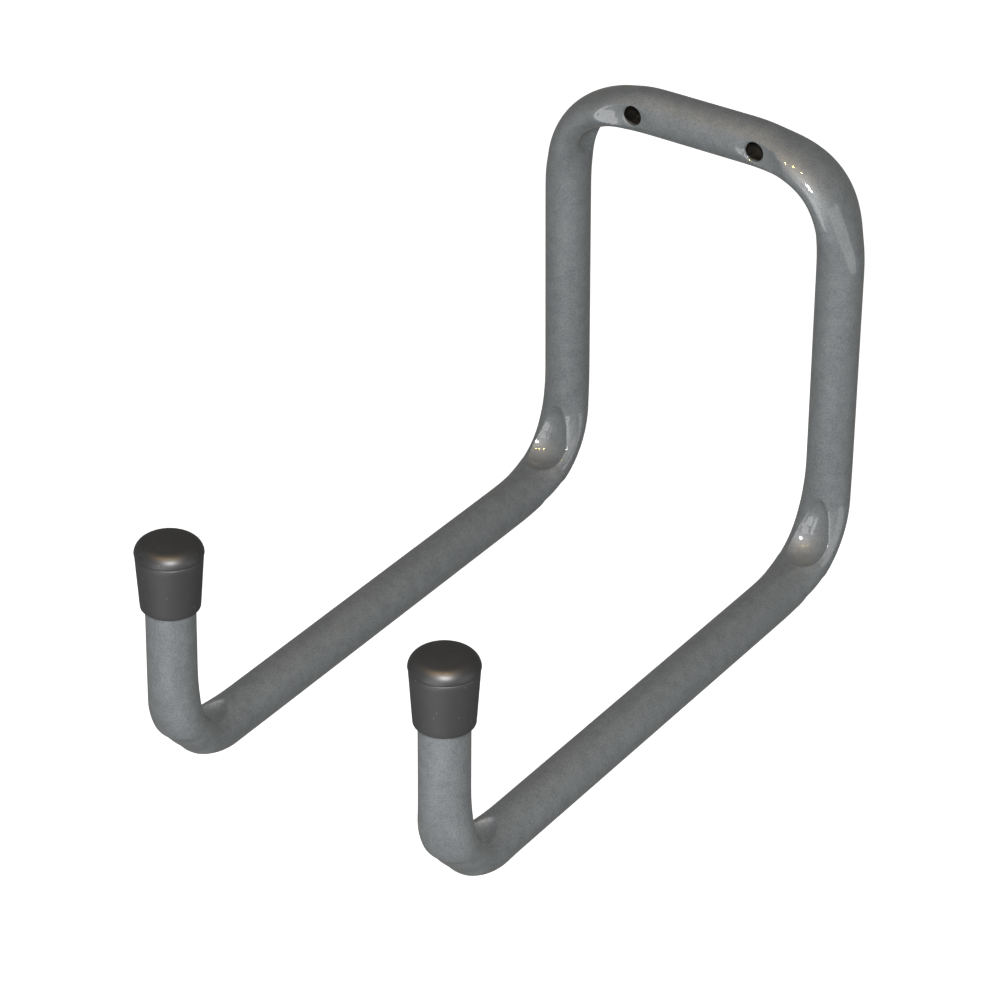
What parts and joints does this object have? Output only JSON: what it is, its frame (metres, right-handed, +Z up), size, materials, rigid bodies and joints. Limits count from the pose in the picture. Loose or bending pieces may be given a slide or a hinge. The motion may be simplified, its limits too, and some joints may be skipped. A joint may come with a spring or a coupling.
{
  "type": "wall storage hook",
  "caption": "Wall hook bent from round steel tube: crossbar with screw holes, legs, long arms and upturned tips with rubber caps, to carry ladders or hive frames.",
  "frame": {"origin": "on the wall plane that the back of the tube touches, midway between the axes of the two screw holes", "axes": "+X to the right along the wall, -Y straight out of the wall along the arms, +Z up"},
  "size_m": [0.151, 0.2815, 0.197],
  "materials": {
    "painted_tube": "grey metallic stoving enamel, semi-gloss, with a fine speckle",
    "black_rubber": "moulded black rubber, satin, slightly shinier on the dome"
  },
  "bodies": {
    "root": {"hook_tube": "painted_tube", "end_cap_left": "black_rubber", "end_cap_right": "black_rubber"}
  },
  "joints": []
}
